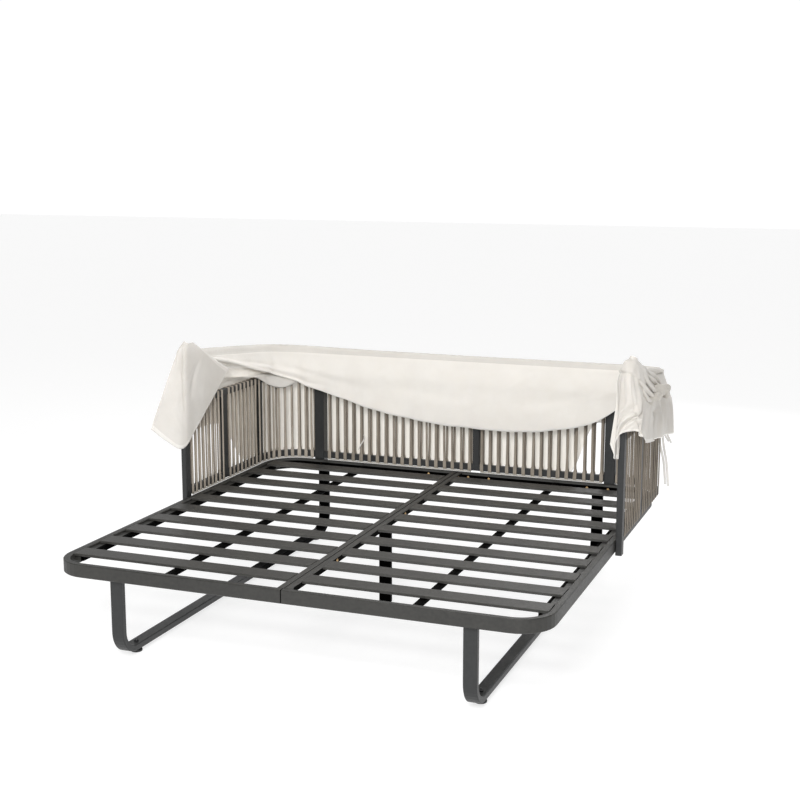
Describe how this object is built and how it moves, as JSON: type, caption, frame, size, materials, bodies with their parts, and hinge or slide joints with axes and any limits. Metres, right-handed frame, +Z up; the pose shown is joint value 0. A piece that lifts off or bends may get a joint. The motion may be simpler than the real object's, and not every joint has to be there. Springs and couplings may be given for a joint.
{
  "type": "outdoor daybed with canopy",
  "caption": "Slatted outdoor daybed on sled legs with a woven strap backrest and a folded cloth canopy on a hinged bow.",
  "frame": {"origin": "on the floor under the middle foot, the underside of which is the mount centre_foot", "axes": "+X to the right as seen from the open front, +Y towards the backrest, +Z up"},
  "size_m": [2.1622, 1.9922, 1.0695],
  "materials": {
    "frame": "satin",
    "strap": "matte",
    "foot": "matte",
    "cloth": "matte",
    "steel": "satin"
  },
  "bodies": {
    "root": {"outer_rail_left": "frame", "seam_rail_left": "frame", "mid_rail_left": "frame", "slat_left_1": "frame", "slat_left_2": "frame", "slat_left_3": "frame", "slat_left_4": "frame", "slat_left_5": "frame", "slat_left_6": "frame", "slat_left_7": "frame", "slat_left_8": "frame", "slat_left_9": "frame", "slat_left_10": "frame", "sled_leg_left": "frame", "front_post_left": "frame", "hinge_bracket_left": "frame", "hinge_bolt_left": "steel", "back_post_left": "frame", "woven_panel_left": "strap", "outer_rail_right": "frame", "seam_rail_right": "frame", "mid_rail_right": "frame", "slat_right_1": "frame", "slat_right_2": "frame", "slat_right_3": "frame", "slat_right_4": "frame", "slat_right_5": "frame", "slat_right_6": "frame", "slat_right_7": "frame", "slat_right_8": "frame", "slat_right_9": "frame", "slat_right_10": "frame", "sled_leg_right": "frame", "front_post_right": "frame", "hinge_bracket_right": "frame", "hinge_bolt_right": "steel", "back_post_right": "frame", "woven_panel_right": "strap", "foot_centre": "foot", "foot_front_left": "foot", "foot_rear_left": "foot", "foot_front_right": "foot", "foot_rear_right": "foot", "centre_leg": "frame", "bottom_rail_left": "frame", "top_rail_left": "frame", "bottom_rail_middle": "frame", "top_rail_middle": "frame", "bottom_rail_right": "frame", "top_rail_right": "frame", "woven_panel_back_left": "strap", "woven_panel_back_right": "strap", "canopy_outer_cloth": "cloth", "canopy_flap_left": "cloth", "canopy_fall_right": "cloth"},
    "canopy": {"canopy_bow": "frame", "canopy_swag": "cloth"}
  },
  "joints": [
    {"name": "canopy_hinge", "type": "hinge", "parent": "root", "child": "canopy", "pos_m": [0, 0.0545, 0.99], "axis": [1, 0, 0], "range_deg": [0, 95], "deforming": ["canopy_swag", "canopy_outer_cloth", "canopy_flap_left", "canopy_fall_right"]}
  ]
}
